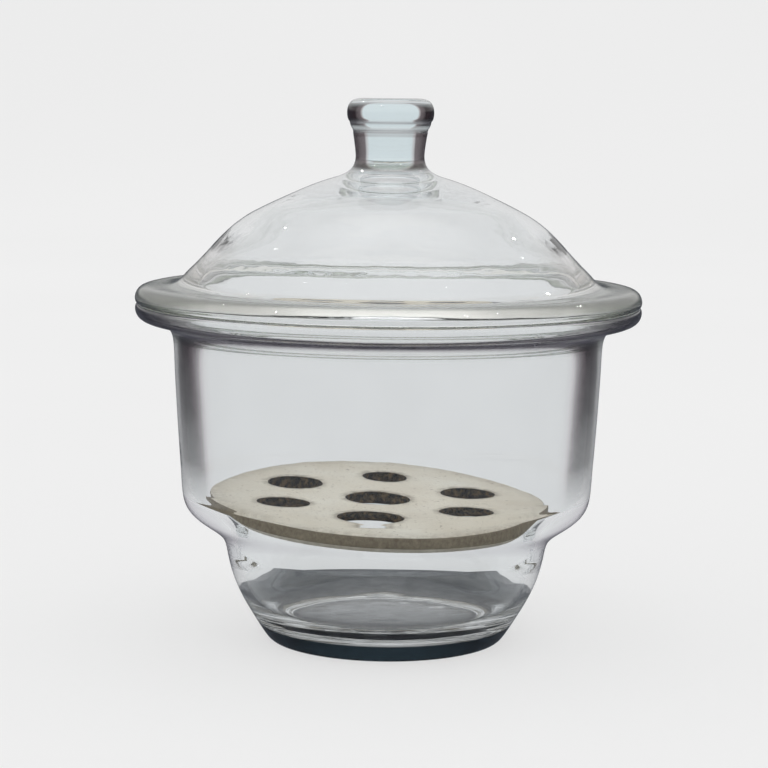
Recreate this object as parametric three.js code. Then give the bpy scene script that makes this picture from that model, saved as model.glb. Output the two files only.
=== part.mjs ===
// Glass desiccator: a pressed glass vessel with a ground rim flange, a pressed glass lid with a solid knob,
// a perforated porcelain plate on the vessel's sloping seat, and the film of sealing grease between the two flanges.
// Millimetres, +Z up. The origin is on the axis, at the underside of the foot ring.
import * as THREE from "three";

// Driving dimensions
const SEGMENTS = 48; // facets round the axis; a multiple of 4, so that the largest diameter is met on X and on Y

const FLANGE_R = 135.8; // largest radius of the lid's flange
const VESSEL_FLANGE_R = 135.6; // largest radius of the vessel's flange
const VESSEL_TOP_Z = 181.2; // ground top face of the vessel
const GREASE_GAP = 0.1; // clearance over and under the grease film
const GREASE_T = 0.4; // thickness of the grease film
const GREASE_R_IN = 112.5;
const GREASE_R_OUT = 133.6;
const LID_BASE_Z = VESSEL_TOP_Z + GREASE_T + 2 * GREASE_GAP; // ground underside of the lid
const LID_TOP_Z = 290.6; // top of the knob

const PLATE_R = 92; // plate outside radius
const PLATE_T = 8.25; // plate thickness
const PLATE_LAYERS = 3; // the rim stands upright for all but the lowest layer, which is bevelled to clear the seat
const PLATE_FOOT_R = 88; // radius of the underside, below the bevel
const PLATE_POS = [-4.6, 6.75, 75.4]; // centre of the plate's top face: it sits a little off the axis, ridden up the seat
const PLATE_SLOPE = [-0.0411, 0.0584]; // rise per mm of the top face along X and Y: the plate lies askew by about 4 degrees
const HOLE_RING_R = 56.2; // radius of the ring of holes
const HOLE_TURN_DEG = -3.5; // the ring's turn about the plate's axis
const CENTRE_HOLE_R = 17.5;
const RING_HOLE_R = [17, 14, 15.2, 12.2, 15.2, 14]; // from the front hole, anticlockwise seen from above

// Vessel profile, [radius, height], from the middle of the underside, out over the foot ring, up the outside,
// over the flange and down the inside to the middle of the floor.
const VESSEL = [
  [0, 3.4], [50, 3.2], [55.5, 1.8], [57.8, 0], [62.4, 0], [64.3, 0.9], [65.8, 2.8], [68.2, 6.5],
  [70.9, 10.8], [73.6, 15.3], [76.4, 20], [79.1, 25.2], [81.7, 31], [83.9, 37.5], [85.6, 44.5], [86.5, 49.6],
  [87.4, 52.9], [88.7, 55.3], [91.0, 58.0], [94.7, 60.9], [100.0, 64.4], [105.3, 68.3], [108.7, 72.8], [110.1, 78],
  [111.1, 92], [112.7, 116], [114.3, 144], [115.2, 162], [116.4, 166.8], [119.2, 169.8], [124.5, 171.3], [130.6, 172.2],
  [133.8, 173.9], [135.1, 176.2], [VESSEL_FLANGE_R, 178.9], [135.3, 180.6], [134.3, VESSEL_TOP_Z],
  [111.8, VESSEL_TOP_Z], [110.4, 180.0], [109.9, 174], [109.3, 158], [108.2, 130], [107.0, 106], [106.2, 89.5],
  [105.6, 83.2], [104.7, 80.3], [102.6, 77.7], [82.6, 61.4], [81.2, 59.2], [80.6, 56.0], [79.9, 50], [78.2, 40],
  [75.0, 30], [70.6, 22], [65.0, 16.8], [58.0, 13.8], [50, 12.6], [26, 12.6], [0, 13.0],
];

// Lid profile, [radius, height], from the underside of the crown, down the inside of the dome, out over the ground
// face and the flange, and up the outside of the dome and the knob to the middle of the knob's top.
const LID = [
  [0, 245.2], [12, 244.8], [22, 243.5], [32, 241.3], [42.5, 238.1], [54, 233.6], [64, 228.8], [73, 223.3], [80.6, 217.7],
  [87.4, 212.0], [93.4, 206.0], [98.6, 199.8], [102.8, 193.4], [105.6, 187.6], [107.0, 183.4], [108.6, LID_BASE_Z],
  [134.2, LID_BASE_Z], [135.4, 182.7], [FLANGE_R, 184.4], [135.3, 186.6], [134.4, 188.8], [132.6, 190.1], [129.6, 190.8],
  [118.6, 191.1], [114.2, 192.0], [111.2, 194.1], [108.4, 197.3], [102.9, 202.6], [97.3, 208.5], [91.3, 215.1],
  [84.4, 221.8], [76.1, 228.0], [66.0, 233.5], [54.2, 239.1], [43.6, 243.8], [33.4, 247.5], [25.6, 249.9], [21.2, 252.3],
  [18.9, 255.4], [18.2, 259.2], [18.8, 265], [19.8, 272], [20.7, 275.2], [22.3, 278.2], [23.2, 281.2], [23.2, 284.8],
  [22.6, 287.6], [20.9, 289.6], [17.6, LID_TOP_Z], [0, LID_TOP_Z],
];

const glass = () =>
  new THREE.MeshStandardMaterial({ color: 0xdde3e6, roughness: 0.04, metalness: 0, transparent: true, opacity: 0.35 });
const porcelain = new THREE.MeshStandardMaterial({ color: 0xd9cfbb, roughness: 0.6, metalness: 0 });
const grease = new THREE.MeshStandardMaterial({ color: 0xd8d6c2, roughness: 0.3, metalness: 0, transparent: true, opacity: 0.6 });

// A body of revolution about +Z. The profile runs with the material on its left, as [radius, height].
function turned(name, profile, material) {
  const geometry = new THREE.LatheGeometry(profile.map(([r, z]) => new THREE.Vector2(r, z)), SEGMENTS);
  geometry.rotateX(Math.PI / 2);
  const mesh = new THREE.Mesh(geometry, material);
  mesh.name = name;
  return mesh;
}

// The perforated disc, its top face at height 0 in its own frame, with its lower edge bevelled.
function perforatedPlate() {
  const shape = new THREE.Shape().absarc(0, 0, PLATE_R, 0, 2 * Math.PI, false);
  const hole = (x, y, r) => shape.holes.push(new THREE.Path().absarc(x, y, r, 0, 2 * Math.PI, true));
  hole(0, 0, CENTRE_HOLE_R);
  RING_HOLE_R.forEach((r, i) => {
    const a = THREE.MathUtils.degToRad(-90 + 60 * i + HOLE_TURN_DEG);
    hole(HOLE_RING_R * Math.cos(a), HOLE_RING_R * Math.sin(a), r);
  });
  const geometry = new THREE.ExtrudeGeometry(shape, { depth: PLATE_T, steps: PLATE_LAYERS, bevelEnabled: false, curveSegments: 28 });
  geometry.translate(0, 0, -PLATE_T);
  const at = geometry.attributes.position;
  for (let i = 0; i < at.count; i++) {
    const r = Math.hypot(at.getX(i), at.getY(i));
    if (at.getZ(i) > -PLATE_T + 0.01 || r < PLATE_R - 0.01) continue;
    at.setXY(i, (at.getX(i) * PLATE_FOOT_R) / r, (at.getY(i) * PLATE_FOOT_R) / r);
  }
  const mesh = new THREE.Mesh(geometry, porcelain);
  mesh.name = "plate";
  mesh.position.set(...PLATE_POS);
  const normal = new THREE.Vector3(-PLATE_SLOPE[0], -PLATE_SLOPE[1], 1).normalize();
  mesh.quaternion.setFromUnitVectors(new THREE.Vector3(0, 0, 1), normal);
  return mesh;
}

const filmLow = VESSEL_TOP_Z + GREASE_GAP;
const FILM = [
  [GREASE_R_IN, filmLow], [GREASE_R_OUT, filmLow], [GREASE_R_OUT, filmLow + GREASE_T],
  [GREASE_R_IN, filmLow + GREASE_T], [GREASE_R_IN, filmLow],
];

const desiccator = new THREE.Group();
desiccator.name = "glass_desiccator";
desiccator.add(
  turned("vessel", VESSEL, glass()),
  turned("lid", LID, glass()),
  turned("grease_film", FILM, grease),
  perforatedPlate(),
);

export default desiccator;
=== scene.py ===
import math

import bmesh
import bpy
from mathutils import Matrix, Vector, geometry, noise


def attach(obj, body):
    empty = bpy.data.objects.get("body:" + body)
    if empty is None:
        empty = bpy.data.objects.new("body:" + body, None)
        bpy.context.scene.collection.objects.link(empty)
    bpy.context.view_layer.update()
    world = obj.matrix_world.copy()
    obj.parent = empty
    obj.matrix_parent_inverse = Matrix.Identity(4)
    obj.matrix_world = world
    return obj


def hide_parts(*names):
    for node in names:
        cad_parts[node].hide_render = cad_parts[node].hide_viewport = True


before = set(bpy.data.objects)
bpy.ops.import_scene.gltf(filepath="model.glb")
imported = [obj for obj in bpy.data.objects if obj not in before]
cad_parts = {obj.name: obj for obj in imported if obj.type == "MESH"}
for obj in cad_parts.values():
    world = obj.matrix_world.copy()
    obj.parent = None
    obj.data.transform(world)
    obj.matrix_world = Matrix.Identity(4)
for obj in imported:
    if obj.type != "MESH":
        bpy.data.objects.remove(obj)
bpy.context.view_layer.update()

MM = 0.001
scene = bpy.context.scene

# ---------------------------------------------------------------- camera
CAM_DIST, CAM_Z, PITCH, ROLL, CAM_X = 1.1998, 0.2885, 7.17, 0.65, -0.0019
cam_data = bpy.data.cameras.new("camera")
cam_data.sensor_width = 36.0
cam_data.lens = 2240.0 / 768.0 * 36.0
cam_data.clip_start, cam_data.clip_end = 0.01, 100.0
cam = bpy.data.objects.new("camera", cam_data)
scene.collection.objects.link(cam)
cam.matrix_world = (
    Matrix.Translation((CAM_X, -CAM_DIST, CAM_Z))
    @ Matrix.Rotation(math.radians(90 - PITCH), 4, "X")
    @ Matrix.Rotation(math.radians(ROLL), 4, "Z")
)
scene.camera = cam

# ---------------------------------------------------------------- profiles, in mm
VESSEL_TOP, LID_BASE, LID_TOP = 181.2, 181.8, 290.6

# each run is a smooth stretch, with the kind of surface it makes; runs meet at the small rounded edges of the flat faces
OUTER, GROUND, INNER, UNDER = 0, 1, 2, 3
VESSEL_RUNS = [
    (UNDER, [(0, 3.4), (25, 3.4), (44, 3.3), (50, 3.2), (55.5, 1.8), (57.4, 0.25), (58.0, 0)]),
    (OUTER, [(58.0, 0), (62.2, 0)]),
    (OUTER, [(62.2, 0), (63.3, 0.2), (64.3, 0.9), (65.8, 2.8), (68.2, 6.5), (70.9, 10.8), (73.6, 15.3), (76.4, 20), (79.1, 25.2),
     (81.7, 31), (83.9, 37.5), (85.6, 44.5), (86.5, 49.6), (87.4, 52.9), (88.7, 55.3), (91.0, 58.0), (94.7, 60.9),
     (100.0, 64.4), (105.3, 68.3), (108.7, 72.8), (110.1, 78), (111.1, 92), (112.7, 116), (114.3, 144), (115.2, 162),
     (116.4, 166.8), (119.2, 169.8), (124.5, 171.3), (130.6, 172.2), (133.8, 173.9), (135.1, 176.2), (135.6, 178.9),
     (135.3, 180.4), (134.7, 180.95), (134.0, 181.2)]),
    (GROUND, [(134.0, 181.2), (112.4, 181.2)]),
    (INNER, [(112.4, 181.2), (111.2, 180.9), (110.4, 179.9), (109.9, 174), (109.3, 158), (108.2, 130), (107.0, 106),
     (106.2, 89.5), (105.8, 84.5), (105.4, 82.0), (104.5, 79.9), (102.6, 77.7), (92, 69.1), (82.6, 61.4), (81.2, 59.2), (80.6, 56.0),
     (79.9, 50), (78.2, 40), (75.0, 30), (70.6, 22), (65.0, 16.8), (58.0, 13.8), (50, 12.6), (26, 12.6), (12, 12.8),
     (0, 13.0)]),
]
LID_RUNS = [
    (INNER, [(0, 245.2), (12, 244.8), (22, 243.5), (32, 241.3), (42.5, 238.1), (54, 233.6), (64, 228.8), (73, 223.3), (80.6, 217.7),
     (87.4, 212.0), (93.4, 206.0), (98.6, 199.8), (102.8, 193.4), (105.6, 187.6), (107.0, 183.4), (107.6, 182.2),
     (109.0, 181.8)]),
    (GROUND, [(109.0, 181.8), (133.8, 181.8)]),
    (OUTER, [(133.8, 181.8), (134.7, 182.0), (135.4, 182.8), (135.8, 184.4), (135.3, 186.6), (134.4, 188.8), (132.6, 190.1),
     (129.6, 190.8), (118.6, 191.1), (114.2, 192.0), (111.2, 194.1), (108.4, 197.3), (102.9, 202.6), (97.3, 208.5),
     (91.3, 215.1), (84.4, 221.8), (76.1, 228.0), (66.0, 233.5), (54.2, 239.1), (43.6, 243.8), (33.4, 247.5),
     (25.6, 249.9), (21.2, 252.3), (18.9, 255.4), (18.2, 259.2), (18.8, 265), (19.8, 272), (20.7, 275.2), (22.3, 278.2),
     (23.2, 281.2), (23.2, 284.8), (22.6, 287.6), (20.9, 289.6), (17.6, 290.5), (12, 290.6), (0, 290.6)]),
]


def catmull(points, step):
    """A smooth line through points, about step apart, with its ends kept."""
    p = [Vector(q) for q in points]
    if len(p) == 2:
        n = max(2, int((p[1] - p[0]).length / (step * 2.2)))
        return [p[0].lerp(p[1], i / n) for i in range(n + 1)]
    p = [p[0] * 2 - p[1]] + p + [p[-1] * 2 - p[-2]]
    out = []
    for i in range(1, len(p) - 2):
        a, b, c, d = p[i - 1 : i + 3]
        n = max(2, int((c - b).length / step + 0.5))
        t0 = 0.0
        t1 = t0 + max((b - a).length, 1e-6) ** 0.5
        t2 = t1 + max((c - b).length, 1e-6) ** 0.5
        t3 = t2 + max((d - c).length, 1e-6) ** 0.5
        for k in range(n):
            t = t1 + (t2 - t1) * k / n
            a1 = a * ((t1 - t) / (t1 - t0)) + b * ((t - t0) / (t1 - t0))
            a2 = b * ((t2 - t) / (t2 - t1)) + c * ((t - t1) / (t2 - t1))
            a3 = c * ((t3 - t) / (t3 - t2)) + d * ((t - t2) / (t3 - t2))
            b1 = a1 * ((t2 - t) / (t2 - t0)) + a2 * ((t - t0) / (t2 - t0))
            b2 = a2 * ((t3 - t) / (t3 - t1)) + a3 * ((t - t1) / (t3 - t1))
            out.append(b1 * ((t2 - t) / (t2 - t1)) + b2 * ((t - t1) / (t2 - t1)))
    out.append(p[-2].copy())
    return out


def relax(line, rounds, held):
    """Evens out a line, leaving its first and last few points."""
    for _ in range(rounds):
        new = [q.copy() for q in line]
        for i in range(held, len(line) - held):
            new[i] = line[i] * 0.5 + (line[i - 1] + line[i + 1]) * 0.25
        line = new
    return line


def profile(runs, step, rounds):
    """[(r, z, slot)] down the whole outline; slot is the kind of the faces after the point."""
    out = []
    for i, (slot, run) in enumerate(runs):
        line = catmull(run, step)
        if len(run) > 2:
            line = relax(line, rounds, 3)
        for q in line if i == len(runs) - 1 else line[:-1]:
            out.append((max(q.x, 0.0), q.y, slot))
    out[0] = (0.0, *out[0][1:])
    out[-1] = (0.0, *out[-1][1:])
    return out


def lathe(name, line, segments, moved, material):
    """A closed body of revolution. moved(r, z, angle, slot) gives each point's radius and height, in mm."""
    bm = bmesh.new()
    rings, kinds = [], []
    for r, z, slot in line:
        if r < 1e-6:
            rings.append(bm.verts.new((0, 0, z * MM)))
            continue
        ring = []
        for k in range(segments):
            a = 2 * math.pi * k / segments
            rr, zz = moved(r, z, a, slot)
            ring.append(bm.verts.new((rr * math.cos(a) * MM, rr * math.sin(a) * MM, zz * MM)))
        rings.append(ring)
    for i in range(len(rings) - 1):
        lo, hi = rings[i], rings[i + 1]
        slot = line[i][2]
        for k in range(segments):
            j = (k + 1) % segments
            if isinstance(lo, list) and isinstance(hi, list):
                f = bm.faces.new((lo[k], lo[j], hi[j], hi[k]))
            elif isinstance(hi, list):
                f = bm.faces.new((lo, hi[j], hi[k]))
            else:
                f = bm.faces.new((lo[k], lo[j], hi))
            kinds.append(slot)
            f.smooth = True
    bmesh.ops.recalc_face_normals(bm, faces=bm.faces)
    if bm.calc_volume(signed=True) < 0:
        bmesh.ops.reverse_faces(bm, faces=bm.faces)
    mesh = bpy.data.meshes.new(name)
    bm.to_mesh(mesh)
    bm.free()
    for kind, label in ((OUTER, "outer"), (GROUND, "ground"), (UNDER, "under")):
        mesh.attributes.new(label, "FLOAT", "FACE").data.foreach_set("value", [float(k == kind) for k in kinds])
    obj = bpy.data.objects.new(name, mesh)
    scene.collection.objects.link(obj)
    mesh.materials.append(material)
    return obj


def ripple(r, z, a, size, seed):
    """Smooth noise over a body of revolution, -1 to 1."""
    return noise.noise(Vector((r * math.cos(a) / size + seed, r * math.sin(a) / size - seed, z / size + 2 * seed)))


# ---------------------------------------------------------------- materials
class Nodes:
    def __init__(self, name):
        self.mat = bpy.data.materials.new(name)
        self.mat.use_nodes = True
        self.tree = self.mat.node_tree
        self.out = self.tree.nodes["Material Output"]
        self.p = self.tree.nodes["Principled BSDF"]

    def add(self, kind, **inputs):
        n = self.tree.nodes.new(kind)
        for key, value in inputs.items():
            if hasattr(n, key):
                setattr(n, key, value)
            else:
                n.inputs[key.replace("_", " ")].default_value = value
        return n

    def link(self, a, b):
        self.tree.links.new(a, b)

    def noise(self, scale, detail=3.0, rough=0.5, coords=None, distortion=0.0):
        n = self.add("ShaderNodeTexNoise", Scale=scale, Detail=detail, Roughness=rough, Distortion=distortion)
        self.link(coords if coords is not None else self.coords(), n.inputs["Vector"])
        return n.outputs["Fac"]

    def coords(self):
        if not hasattr(self, "_c"):
            self._c = self.add("ShaderNodeTexCoord").outputs["Object"]
        return self._c

    def ramp(self, fac, stops):
        n = self.add("ShaderNodeValToRGB")
        e = n.color_ramp.elements
        e.remove(e[1])
        for i, (pos, col) in enumerate(stops):
            el = e.new(pos) if i else e[0]
            el.position = pos
            el.color = (*col, 1)
        self.link(fac, n.inputs["Fac"])
        return n.outputs["Color"]

    def math(self, op, a, b, clamp=False):
        n = self.add("ShaderNodeMath")
        n.operation = op
        n.use_clamp = clamp
        for i, v in enumerate((a, b)):
            if isinstance(v, (int, float)):
                n.inputs[i].default_value = v
            else:
                self.link(v, n.inputs[i])
        return n.outputs[0]

    def bump(self, height, strength, distance, normal=None):
        n = self.add("ShaderNodeBump", Strength=strength, Distance=distance)
        self.link(height, n.inputs["Height"])
        if normal is not None:
            self.link(normal, n.inputs["Normal"])
        return n.outputs["Normal"]

    def mix(self, fac, a, b):
        n = self.add("ShaderNodeMix")
        n.data_type = "RGBA"
        for value, socket in ((fac, n.inputs["Factor"]), (a, n.inputs[6]), (b, n.inputs[7])):
            if isinstance(value, (int, float)):
                socket.default_value = value
            elif isinstance(value, tuple):
                socket.default_value = (*value, 1) if len(value) == 3 else value
            else:
                self.link(value, socket)
        return n.outputs[2]


ABSORB_COLOR, ABSORB_DENSITY = (0.48, 0.55, 0.57, 1), 1.6


def grey(v, warm=0.0):
    return (v * (1 + warm), v, v * (1 - warm))


def glass_material(name, base, ground, under, wave, bend, painted_edge_shade):
    """Pressed glass with ground faces. Each band is painted shade: it darkens the outside where it is seen edge-on, in
    place of the dark surroundings that clear glass shows at its edges. It has stops of height in mm with a strength,
    and stops of facing (0 square on, 1 edge-on) with a colour. wave is the depth of the ripples in metres. bend has
    stops of height where the corner bends the light less."""
    m = Nodes(name)
    p = m.p
    p.inputs["Transmission Weight"].default_value = 1.0
    p.inputs["IOR"].default_value = 1.51

    def mask(label):
        return m.add("ShaderNodeAttribute", attribute_name=label).outputs["Fac"]

    split = m.add("ShaderNodeSeparateXYZ")
    m.link(m.coords(), split.inputs[0])
    level = m.math("MULTIPLY", split.outputs["Z"], 1 / 0.3)
    facing = m.add("ShaderNodeLayerWeight", Blend=0.5).outputs["Facing"]
    plain = m.ramp(m.noise(26, 3, 0.5), [(0.35, base), (0.65, tuple(min(1.0, c * 1.03) for c in base))])
    colour = plain
    # each band paints shade onto the outside colour where the glass is seen edge-on
    for heights, stops in painted_edge_shade:
        strength = m.ramp(level, [(z / 300, (v, v, v)) for z, v in heights])
        colour = m.mix(strength, colour, m.ramp(facing, stops))
    colour = m.mix(mask("outer"), plain, colour)
    # the underside faces take the under colour, a grey tint that is painted shade under the foot
    if under is not None:
        colour = m.mix(mask("under"), colour, under)
    is_ground = mask("ground")
    m.link(m.mix(is_ground, colour, ground), p.inputs["Base Color"])

    smudge = m.math("MULTIPLY", m.ramp(m.noise(38, 4, 0.6, distortion=0.6), [(0.45, (0, 0, 0)), (0.8, (1, 1, 1))]), 0.045)
    matt = m.math("ADD", m.math("MULTIPLY", m.noise(60, 3, 0.5), 0.22), 0.24)
    m.link(m.math("ADD", smudge, m.math("MULTIPLY", is_ground, matt)), p.inputs["Roughness"])
    both = m.math("ADD", m.noise(70, 2, 0.4), m.math("MULTIPLY", m.noise(420, 2, 0.5), 0.06))
    grain = m.math("MULTIPLY", m.math("MULTIPLY", m.noise(900, 4, 0.6), is_ground), 1.4)
    m.link(m.bump(m.math("ADD", both, grain), 0.25, wave), p.inputs["Normal"])
    if bend:
        soft = m.ramp(level, [(z / 300, (v, v, v)) for z, v in bend])
        p.inputs["IOR"].default_value = 1.51
        m.link(m.math("SUBTRACT", 1.51, m.math("MULTIPLY", soft, 0.49)), p.inputs["IOR"])
    vol = m.add("ShaderNodeVolumeAbsorption")
    vol.inputs["Color"].default_value = ABSORB_COLOR
    vol.inputs["Density"].default_value = ABSORB_DENSITY
    m.link(vol.outputs[0], m.out.inputs["Volume"])
    return m.mat


def porcelain_material():
    m = Nodes("porcelain")
    p = m.p
    base = m.ramp(m.noise(22, 5, 0.6), [(0.3, (0.78, 0.70, 0.57)), (0.55, (0.88, 0.82, 0.70)), (0.75, (0.93, 0.89, 0.79))])
    specks = m.ramp(m.noise(520, 2, 0.5), [(0.30, (0.25, 0.19, 0.13)), (0.37, (1, 1, 1))])
    n = m.add("ShaderNodeMix")
    n.data_type = "RGBA"
    n.blend_type = "MULTIPLY"
    n.inputs["Factor"].default_value = 0.55
    m.link(base, n.inputs[6])
    m.link(specks, n.inputs[7])
    # mixes in a dark brown: painted shade at the hole mouths, leading into the bores, and darker toward the outside
    # edge
    hole_shade_and_edge_dark_mask = m.add("ShaderNodeAttribute", attribute_name="hole_shade_and_edge_dark").outputs["Fac"]
    patchy = m.ramp(m.noise(260, 4, 0.7), [(0.38, (0.15, 0.15, 0.15)), (0.62, (1, 1, 1))])
    m.link(m.mix(m.math("MULTIPLY", hole_shade_and_edge_dark_mask, patchy), n.outputs[2], (0.20, 0.15, 0.09)), p.inputs["Base Color"])
    m.link(m.math("ADD", m.math("MULTIPLY", m.noise(90, 3, 0.5), 0.25), 0.42), p.inputs["Roughness"])
    m.link(m.bump(m.math("ADD", m.noise(160, 4, 0.6), m.math("MULTIPLY", m.noise(900, 3, 0.6), 0.3)), 0.35, 0.0003), p.inputs["Normal"])
    return m.mat


def bisque_material(name, dark, light, size, stops):
    """Bare porcelain, coloured dark: painted shade with a brown tint on the walls of the holes, and a darker brown-grey
    on the outside edge.
    """
    m = Nodes(name)
    p = m.p
    m.link(m.ramp(m.noise(size, 5, 0.7), [(stops[0], dark), (stops[1], light)]), p.inputs["Base Color"])
    p.inputs["Roughness"].default_value = 0.85
    m.link(m.bump(m.math("ADD", m.noise(260, 4, 0.6), m.math("MULTIPLY", m.noise(1100, 3, 0.6), 0.4)), 0.5, 0.0003), p.inputs["Normal"])
    return m.mat


def grease_material():
    m = Nodes("grease")
    p = m.p
    m.link(m.ramp(m.noise(45, 3, 0.5), [(0.35, (0.80, 0.82, 0.74)), (0.7, (0.93, 0.93, 0.88))]), p.inputs["Base Color"])
    p.inputs["Transmission Weight"].default_value = 0.85
    p.inputs["IOR"].default_value = 1.47
    m.link(m.math("ADD", m.math("MULTIPLY", m.noise(120, 3, 0.5), 0.3), 0.12), p.inputs["Roughness"])
    m.link(m.bump(m.noise(200, 3, 0.5), 0.4, 0.0002), p.inputs["Normal"])
    return m.mat


BASE = (0.885, 0.898, 0.905)
# vessel bands, all painted shade: dark edges on the wall and under the flange, a near-black foot band and dark edges on
# the lower bowl; the grey under colour is painted shade under the foot
vessel_glass = glass_material("vessel_glass", BASE, (0.70, 0.76, 0.70), (0.75, 0.76, 0.78), 0.00010, [(40, 0), (49, 1), (79, 1), (85.5, 0)], [
    ([(80, 0), (86, 0.28), (101, 0.86), (130, 0.98), (160, 1)],
     [(0.46, BASE), (0.50, (0.80, 0.78, 0.80)), (0.525, (0.55, 0.51, 0.53)), (0.55, (0.20, 0.18, 0.19)), (0.58, (0.075, 0.062, 0.068)),
      (0.61, (0.026, 0.019, 0.022)), (0.65, (0.006, 0.0042, 0.005)), (0.70, (0.005, 0.0035, 0.004)), (0.75, (0.0085, 0.0075, 0.008)),
      (0.80, (0.04, 0.038, 0.039)), (0.90, (0.6, 0.6, 0.6))]),
    ([(164, 0), (168, 1)],
     [(0.30, BASE), (0.42, (0.38, 0.36, 0.38)), (0.56, (0.05, 0.045, 0.055)), (0.75, (0.006, 0.005, 0.009)), (0.95, (0.02, 0.018, 0.025))]),
    ([(0, 1), (9.5, 1), (11.5, 0)], [(0.08, BASE), (0.24, (0.0006, 0.0016, 0.0026)), (0.8, (0.0002, 0.0006, 0.0010))]),
    ([(36, 0), (44, 1), (78, 1), (84, 0)],
     [(0.60, BASE), (0.78, (0.66, 0.65, 0.68)), (0.88, (0.24, 0.23, 0.26)), (0.95, (0.05, 0.05, 0.06))]),
])
# lid bands, all painted shade: a dark flange rim, a flange band beige square on that darkens edge-on, a darker dome
# foot, near-black edges on the knob neck and bead
lid_glass = glass_material("lid_glass", BASE, (0.70, 0.76, 0.70), None, 0.00028, None, [
    ([(184.5, 1), (186, 0)],
     [(0.42, BASE), (0.54, (0.24, 0.26, 0.22)), (0.70, (0.03, 0.035, 0.03)), (0.95, (0.01, 0.011, 0.015))]),
    ([(184, 0), (186, 1), (190.5, 1), (191.5, 0)],
     [(0.02, BASE), (0.06, (0.84, 0.81, 0.74)), (0.30, (0.76, 0.74, 0.66)), (0.45, (0.46, 0.46, 0.40)), (0.75, (0.15, 0.155, 0.13)), (0.95, (0.25, 0.25, 0.22))]),
    ([(191, 0), (196, 0.8), (205, 0.6), (222, 0)],
     [(0.50, BASE), (0.68, (0.55, 0.49, 0.46)), (0.85, (0.40, 0.35, 0.33)), (0.97, (0.6, 0.56, 0.52))]),
    ([(250, 0), (254, 1), (273, 1), (275, 0)],
     [(0.10, (0.77, 0.87, 0.90)), (0.20, (0.74, 0.84, 0.87)), (0.25, (0.55, 0.50, 0.51)), (0.30, (0.060, 0.042, 0.045)), (0.60, (0.014, 0.009, 0.010)), (0.85, (0.010, 0.006, 0.007))]),
    ([(274, 0), (276, 1), (287, 1), (289, 0)],
     [(0.10, (0.77, 0.87, 0.90)), (0.23, (0.74, 0.84, 0.87)), (0.26, (0.30, 0.25, 0.25)), (0.29, (0.04, 0.026, 0.028)), (0.42, (0.0010, 0.0004, 0.0005)), (0.75, (0.0003, 0.0001, 0.0002))]),
    # these two narrow bands paint dark lines of shade in the grooves under the bead
    ([(272.5, 0), (273.2, 1), (274.0, 1), (274.7, 0)], [(0.0, (0.42, 0.40, 0.41)), (0.5, (0.05, 0.045, 0.05)), (0.9, (0.01, 0.008, 0.01))]),
    ([(276.8, 0), (277.5, 1), (278.3, 1), (279.0, 0)], [(0.0, (0.32, 0.30, 0.31)), (0.5, (0.03, 0.026, 0.03)), (0.9, (0.005, 0.004, 0.005))]),
])
porcelain = porcelain_material()
# the hole walls are near black with a brown tint: painted shade in the bores
bore_shade = bisque_material("painted_bore_shade", (0.004, 0.0028, 0.0015), (0.15, 0.098, 0.045), 300, (0.44, 0.66))
# the outside edge is coloured a darker brown-grey
rim_dark = bisque_material("dark_rim_edge", (0.17, 0.14, 0.10), (0.30, 0.26, 0.19), 420, (0.35, 0.7))
grease = grease_material()

# ---------------------------------------------------------------- vessel and lid
SEGMENTS = 288


def vessel_moved(r, z, a, slot):
    if slot == GROUND or z < 1.5 or z > 179.5:
        return r, z
    fade = min(1.0, (z - 1.5) / 8, (179.5 - z) / 8)
    seed = 7.3 if slot == INNER else 1.9
    d = 0.09 * ripple(r, z, a, 46, seed) + 0.012 * ripple(r, z, a, 13, seed + 3)
    if slot == INNER and z < 16:
        z += (0.16 * ripple(r, 0, a, 17, 5.2) + 0.09 * ripple(r, 0, a, 7, 2.7)) * min(1.0, r / 8, (16 - z) / 2)
    return r + d * fade, z


def lid_moved(r, z, a, slot):
    if slot == GROUND or z < 183.5:
        return r, z
    if z > 287.5:
        return r, z
    fade = min(1.0, (z - 183.5) / 6, (287.5 - z) / 6)
    d = 0.20 * ripple(r, z, a, 30, 4.1) + 0.06 * ripple(r, z, a, 11, 9.2)
    if slot == INNER:
        d *= 0.35
    if r > 130:
        d = -abs(d)
    if slot == OUTER:
        d += 0.15 * math.exp(-(((z - 204.5 - 1.2 * ripple(110, 0, a, 24, 2.2)) / 1.1) ** 2)) * (0.6 + 0.9 * ripple(110, 0, a, 7, 6.1))
        d += 0.05 * ripple(r, z, a, 6, 3.9) * max(0.0, min(1.0, (z - 203) / 6, (246 - z) / 6))
        d -= 0.42 * math.exp(-(((z - 273.6) / 0.85) ** 2)) + 0.46 * math.exp(-(((z - 277.9) / 0.85) ** 2))
    return max(r + d * fade * min(1, r / 20), 0.05), z + 0.12 * fade * ripple(r, z, a, 26, 5.5)


vessel = lathe("vessel_glass", profile(VESSEL_RUNS, 1.9, 4), SEGMENTS, vessel_moved, vessel_glass)
lid = lathe("lid_glass", profile(LID_RUNS, 1.15, 6), SEGMENTS, lid_moved, lid_glass)
film_line = [(112.7, 181.35), (112.9, 181.31), (123, 181.3), (133.2, 181.3), (133.5, 181.35), (133.6, 181.5), (133.5, 181.65),
             (133.2, 181.7), (123, 181.7), (112.9, 181.7), (112.7, 181.65), (112.6, 181.5), (112.7, 181.35)]


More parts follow.
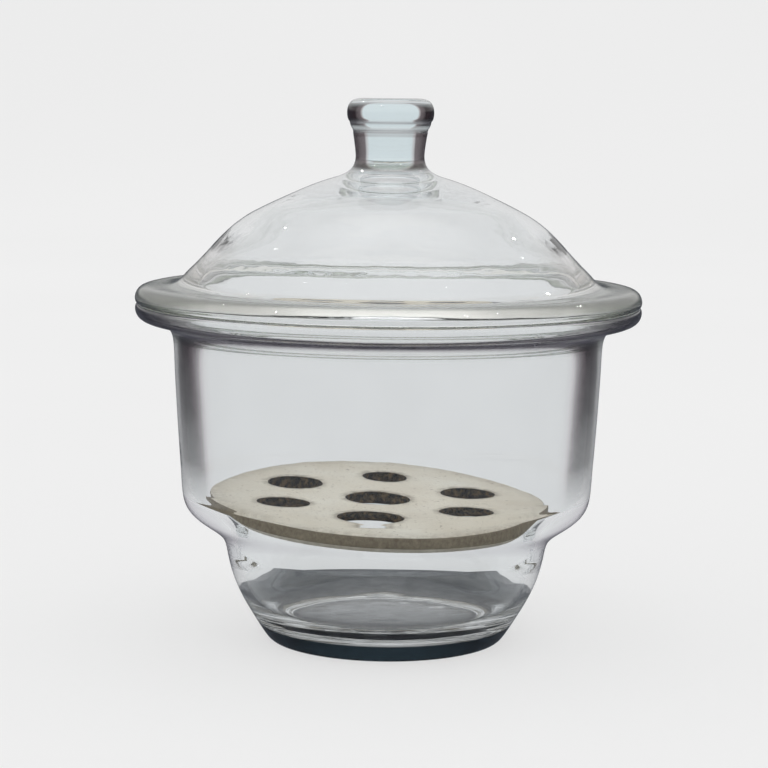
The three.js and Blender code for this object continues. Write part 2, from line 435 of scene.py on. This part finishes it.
def film(name, line, segments, material):
    bm = bmesh.new()
    rings = []
    for r, z in line[:-1]:
        ring = []
        for k in range(segments):
            a = 2 * math.pi * k / segments
            edge = 1.1 * ripple(120, 0, a, 14, 3.3) + 0.5 * ripple(120, 0, a, 4, 8.3)
            rr = r + (abs(edge) if r < 120 else -abs(edge)) * (0 if 114 < r < 132 else 1)
            ring.append(bm.verts.new((rr * math.cos(a) * MM, rr * math.sin(a) * MM, z * MM)))
        rings.append(ring)
    n = len(rings)
    for i in range(n):
        lo, hi = rings[i], rings[(i + 1) % n]
        for k in range(segments):
            j = (k + 1) % segments
            f = bm.faces.new((lo[k], lo[j], hi[j], hi[k]))
            f.smooth = True
    bmesh.ops.recalc_face_normals(bm, faces=bm.faces)
    mesh = bpy.data.meshes.new(name)
    bm.to_mesh(mesh)
    bm.free()
    obj = bpy.data.objects.new(name, mesh)
    scene.collection.objects.link(obj)
    mesh.materials.append(material)
    return obj


seal = film("grease_ring", film_line, 240, grease)

# ---------------------------------------------------------------- plate
PLATE_R, PLATE_T, RIM_T, FOOT_R = 92.0, 8.25, 5.5, 88.0
PLATE_POS = Vector((-4.6, 6.75, 75.4))
PLATE_SLOPE = (-0.0411, 0.0584)
RING_R, RING_TURN = 56.2, -3.5
HOLES = [(0.0, 0.0, 17.5)]
for i, r in enumerate((17, 14, 15.2, 12.2, 15.2, 14)):
    a = math.radians(-90 + 60 * i + RING_TURN)
    HOLES.append((RING_R * math.cos(a), RING_R * math.sin(a), float(r)))


def plate_mesh(name, materials):
    # loops: (centre, radius, is hole, points round)
    loops = [(0.0, 0.0, PLATE_R, False, 240)] + [(x, y, r, True, 84) for x, y, r in HOLES]

    def wobble(i, a):
        """How far a rim strays from its circle, in mm: outward is bigger for a hole, smaller for the disc."""
        v = Vector((math.cos(a) * 1.3 + i * 5.1, math.sin(a) * 1.3, 0.7 * i))
        w = noise.noise(v) * (0.45 if i else 0.35)
        return w if i else -abs(w)

    def dip(x, y):
        return 0.16 * noise.noise(Vector((x / 33, y / 33, 3.0))) + 0.06 * noise.noise(Vector((x / 9, y / 9, 8.0)))

    FILLET = 1.3
    pts, edges, spans = [], [], []
    for i, (cx, cy, r, hole, n) in enumerate(loops):
        start = len(pts)
        for k in range(n):
            a = 2 * math.pi * k / n
            rr = r + wobble(i, a) + (FILLET * 0.8 if hole else -FILLET)
            pts.append(Vector((cx + rr * math.cos(a), cy + rr * math.sin(a))))
        edges += [(start + k, start + (k + 1) % n) for k in range(n)]
        spans.append((start, n))
    grid = 3.2
    m = int(PLATE_R / grid) + 1
    for ix in range(-m, m + 1):
        for iy in range(-m, m + 1):
            x, y = ix * grid + (iy % 2) * grid * 0.5, iy * grid * 0.866
            if math.hypot(x, y) > PLATE_R - FILLET - 2.2:
                continue
            if any(math.hypot(x - hx, y - hy) < hr + FILLET + 1.6 for hx, hy, hr in HOLES):
                continue
            pts.append(Vector((x, y)))
    got = geometry.delaunay_2d_cdt(pts, edges, [], 0, 1e-6)
    verts2, faces2, orig = got[0], got[2], got[3]
    place = {}
    for new, olds in enumerate(orig):
        for o in olds:
            place[o] = new
    keep = []
    for f in faces2:
        c = sum((verts2[v] for v in f), Vector((0, 0))) / 3
        if c.length > PLATE_R - FILLET + 0.3:
            continue
        inside = False
        for i, (hx, hy, hr) in enumerate(HOLES):
            a = math.atan2(c.y - hy, c.x - hx)
            if math.hypot(c.x - hx, c.y - hy) < (hr + wobble(i + 1, a % (2 * math.pi)) + FILLET * 0.8) * math.cos(math.pi / 84) - 1e-4:
                inside = True
                break
        if not inside:
            keep.append(f)
    bm = bmesh.new()
    top = [bm.verts.new((v.x * MM, v.y * MM, dip(v.x, v.y) * MM)) for v in verts2]
    low = []
    for v in verts2:
        r = v.length
        k = 1.0 if r < 78 else (78 + (r - 78) * (FOOT_R - 0.9 - 78) / (PLATE_R - FILLET - 78)) / r
        low.append(bm.verts.new((v.x * k * MM, v.y * k * MM, (-PLATE_T + 0.6 * dip(v.y, v.x) + 0.1) * MM)))
    for f in keep:
        bm.faces.new([top[v] for v in f])
        bm.faces.new([low[v] for v in reversed(f)])
    for i, (cx, cy, r, hole, n) in enumerate(loops):
        start, _ = spans[i]
        rings = [[top[place[start + k]] for k in range(n)]]
        steps = []
        ff = FILLET * 0.8 if hole else FILLET
        for s in range(1, 5):
            t = math.pi / 2 * s / 4
            steps.append((ff * (1 - math.sin(t)), -ff * (1 - math.cos(t))))
        if hole:
            steps.append((0.0, -PLATE_T * 0.5))
            for s in range(0, 4):
                t = math.pi / 2 * (1 - s / 4)
                steps.append((ff * (1 - math.sin(t)), -PLATE_T + ff * (1 - math.cos(t))))
        else:
            steps += [(0.0, -3.4), (0.05, -4.9), (0.35, -5.5), (1.0, -6.05), (2.1, -6.8), (3.3, -7.5), (4.0, -7.95), (4.4, -8.15)]
        for off, z in steps:
            ring = []
            for k in range(n):
                a = 2 * math.pi * k / n
                rr = r + wobble(i, a) + (off if hole else -off)
                x, y = cx + rr * math.cos(a), cy + rr * math.sin(a)
                share = min(1.0, max(0.0, 1 + z / PLATE_T))
                zz = z + dip(x, y) * share + (0.6 * dip(y, x) + 0.1) * (1 - share)
                ring.append(bm.verts.new((x * MM, y * MM, zz * MM)))
            rings.append(ring)
        rings.append([low[place[start + k]] for k in range(n)])
        for row, (lo, hi) in enumerate(zip(rings, rings[1:])):
            for k in range(n):
                j = (k + 1) % n
                quad = (lo[k], lo[j], hi[j], hi[k])
                f = bm.faces.new(quad if hole else tuple(reversed(quad)))
                # hole walls take the painted bore shade, the outside edge the darker edge colour
                f.material_index = 0 if row < 2 or (not hole and row > 6) else 1 if hole else 2
    loose = [v for v in bm.verts if not v.link_faces]
    bmesh.ops.delete(bm, geom=loose, context="VERTS")
    bmesh.ops.recalc_face_normals(bm, faces=bm.faces)
    for f in bm.faces:
        f.smooth = True
    if bm.calc_volume(signed=True) < 0:
        bmesh.ops.reverse_faces(bm, faces=bm.faces)
    # darker at the hole mouths, painted shade that leads into the bores, and darker toward the outside edge
    hole_shade_and_edge_dark_values = []
    for v in bm.verts:
        x, y = v.co.x / MM, v.co.y / MM
        gap = min(math.hypot(x - hx, y - hy) - hr for hx, hy, hr in HOLES)
        rim = PLATE_R - math.hypot(x, y)
        hole_shade_and_edge_dark_values.append(max(0.0, 0.75 * (1 - max(gap - 0.8, 0) / 2.6), 0.38 * (1 - max(rim - 1.0, 0) / 9)))
    normal = Vector((-PLATE_SLOPE[0], -PLATE_SLOPE[1], 1)).normalized()
    turn = Vector((0, 0, 1)).rotation_difference(normal).to_matrix().to_4x4()
    bm.transform(Matrix.Translation(PLATE_POS * MM) @ turn)
    mesh = bpy.data.meshes.new(name)
    bm.to_mesh(mesh)
    bm.free()
    mesh.attributes.new("hole_shade_and_edge_dark", "FLOAT", "POINT").data.foreach_set("value", hole_shade_and_edge_dark_values)
    obj = bpy.data.objects.new(name, mesh)
    scene.collection.objects.link(obj)
    for material in materials:
        mesh.materials.append(material)
    return obj


plate = plate_mesh("porcelain_plate", [porcelain, bore_shade, rim_dark])

for piece, body, node, slot in (
    (vessel, "vessel", "vessel", "glass"),
    (lid, "lid", "lid", "glass"),
    (seal, "seal", "grease_film", "grease"),
    (plate, "plate", "plate", "porcelain"),
):
    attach(piece, body)
    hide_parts(node)

# ---------------------------------------------------------------- stage and light
FLOOR_R, RISE_R, WALL_H = 3.2, 1.6, 3.4


def cyclorama():
    bm = bmesh.new()
    line = [(0.0, 0.0)] + [(FLOOR_R * t, 0.0) for t in (0.15, 0.4, 0.7, 1.0)]
    for s in range(1, 17):
        t = math.pi / 2 * s / 16
        line.append((FLOOR_R + RISE_R * math.sin(t), RISE_R * (1 - math.cos(t))))
    line.append((FLOOR_R + RISE_R, WALL_H))
    rings = []
    for r, z in line:
        if r == 0:
            rings.append(bm.verts.new((0, 0, z)))
        else:
            rings.append([bm.verts.new((r * math.cos(2 * math.pi * k / 96), r * math.sin(2 * math.pi * k / 96), z)) for k in range(96)])
    for lo, hi in zip(rings, rings[1:]):
        for k in range(96):
            j = (k + 1) % 96
            f = bm.faces.new((lo, hi[k], hi[j]) if not isinstance(lo, list) else (lo[k], hi[k], hi[j], lo[j]))
            f.smooth = True
    mesh = bpy.data.meshes.new("floor")
    bm.to_mesh(mesh)
    bm.free()
    obj = bpy.data.objects.new("floor", mesh)
    scene.collection.objects.link(obj)
    m = Nodes("floor_paper")
    m.link(m.ramp(m.noise(1.1, 2, 0.5), [(0.3, (0.245, 0.245, 0.245)), (0.7, (0.26, 0.26, 0.26))]), m.p.inputs["Base Color"])
    m.p.inputs["Roughness"].default_value = 0.9
    m.p.inputs["Specular IOR Level"].default_value = 0.0
    m.p.inputs["Emission Color"].default_value = (1, 1, 1, 1)
    m.p.inputs["Emission Strength"].default_value = 0.615
    mesh.materials.append(m.mat)
    return obj


floor = cyclorama()
floor.location.z = -0.0002
floor.visible_glossy = False


def pad(name, radius, height, dark, light):
    """A round dark disc on the floor, for painted shade."""
    bm = bmesh.new()
    bmesh.ops.create_circle(bm, cap_ends=True, segments=96, radius=radius)
    mesh = bpy.data.meshes.new(name)
    bm.to_mesh(mesh)
    bm.free()
    obj = bpy.data.objects.new(name, mesh)
    scene.collection.objects.link(obj)
    obj.location.z = height
    m = Nodes(name)
    m.link(m.ramp(m.noise(90, 3, 0.5), [(0.35, dark), (0.65, light)]), m.p.inputs["Base Color"])
    m.p.inputs["Roughness"].default_value = 0.95
    m.p.inputs["Specular IOR Level"].default_value = 0.0
    mesh.materials.append(m.mat)
    return obj


# both are painted shade: one fits inside the foot ring, a dark disc so that the thick base stands out against the
# paper;
# the other is a grey disc, a painted shadow under the vessel that shows only through the glass
pad("painted_shade_under_foot", 0.0605, -0.00005, (0.035, 0.04, 0.055), (0.05, 0.055, 0.07))
shadow_disc = pad("painted_shadow_disc", 0.15, -0.00012, (0.19, 0.20, 0.215), (0.26, 0.27, 0.28))
shadow_disc.visible_camera = shadow_disc.visible_diffuse = shadow_disc.visible_glossy = shadow_disc.visible_shadow = False

# a broad soft light overhead, a dim ring below it, and a dark room for the reflections
world = bpy.data.worlds.new("studio")
scene.world = world
world.use_nodes = True
tree = world.node_tree
bg = tree.nodes["Background"]
where = tree.nodes.new("ShaderNodeTexCoord")
split = tree.nodes.new("ShaderNodeSeparateXYZ")
tree.links.new(where.outputs["Generated"], split.inputs[0])
sky = tree.nodes.new("ShaderNodeValToRGB")
sky.color_ramp.elements[0].position, sky.color_ramp.elements[0].color = 0.04, (0.03, 0.032, 0.038, 1)
sky.color_ramp.elements[1].position, sky.color_ramp.elements[1].color = 0.97, (0.62, 0.62, 0.62, 1)
for at, value in ((0.13, 0.24), (0.57, 0.30), (0.82, 0.34)):
    stop = sky.color_ramp.elements.new(at)
    stop.color = (value, value, value, 1)
tree.links.new(split.outputs["Z"], sky.inputs["Fac"])
tree.links.new(sky.outputs["Color"], bg.inputs["Color"])
bg.inputs["Strength"].default_value = 2.6


def area(name, where, to, size, power, color=(1, 1, 1), shape="DISK"):
    data = bpy.data.lights.new(name, "AREA")
    data.shape = shape
    data.size = size
    data.energy = power
    data.color = color
    obj = bpy.data.objects.new(name, data)
    scene.collection.objects.link(obj)
    obj.location = where
    obj.rotation_euler = (Vector(to) - Vector(where)).to_track_quat("-Z", "Y").to_euler()
    obj.visible_diffuse = False
    obj.visible_camera = False
    return obj


for i, turn in enumerate((-58, -31, 38, 61, 134, -138)):
    a = math.radians(turn - 90)
    area(f"lamp_{i}", (1.5 * math.cos(a), 1.5 * math.sin(a), 1.45 + 0.35 * (i % 2)), (0, 0, 0.15), 0.04, 2.2, (1.0, 0.99, 0.97))

scene.cycles.max_bounces = 24
scene.cycles.transmission_bounces = 24
scene.cycles.transparent_max_bounces = 16
scene.cycles.diffuse_bounces = 4
scene.cycles.glossy_bounces = 24
scene.cycles.blur_glossy = 0.3
scene.view_settings.view_transform = "Standard"
scene.view_settings.look = "None"
scene.view_settings.exposure = 0.0
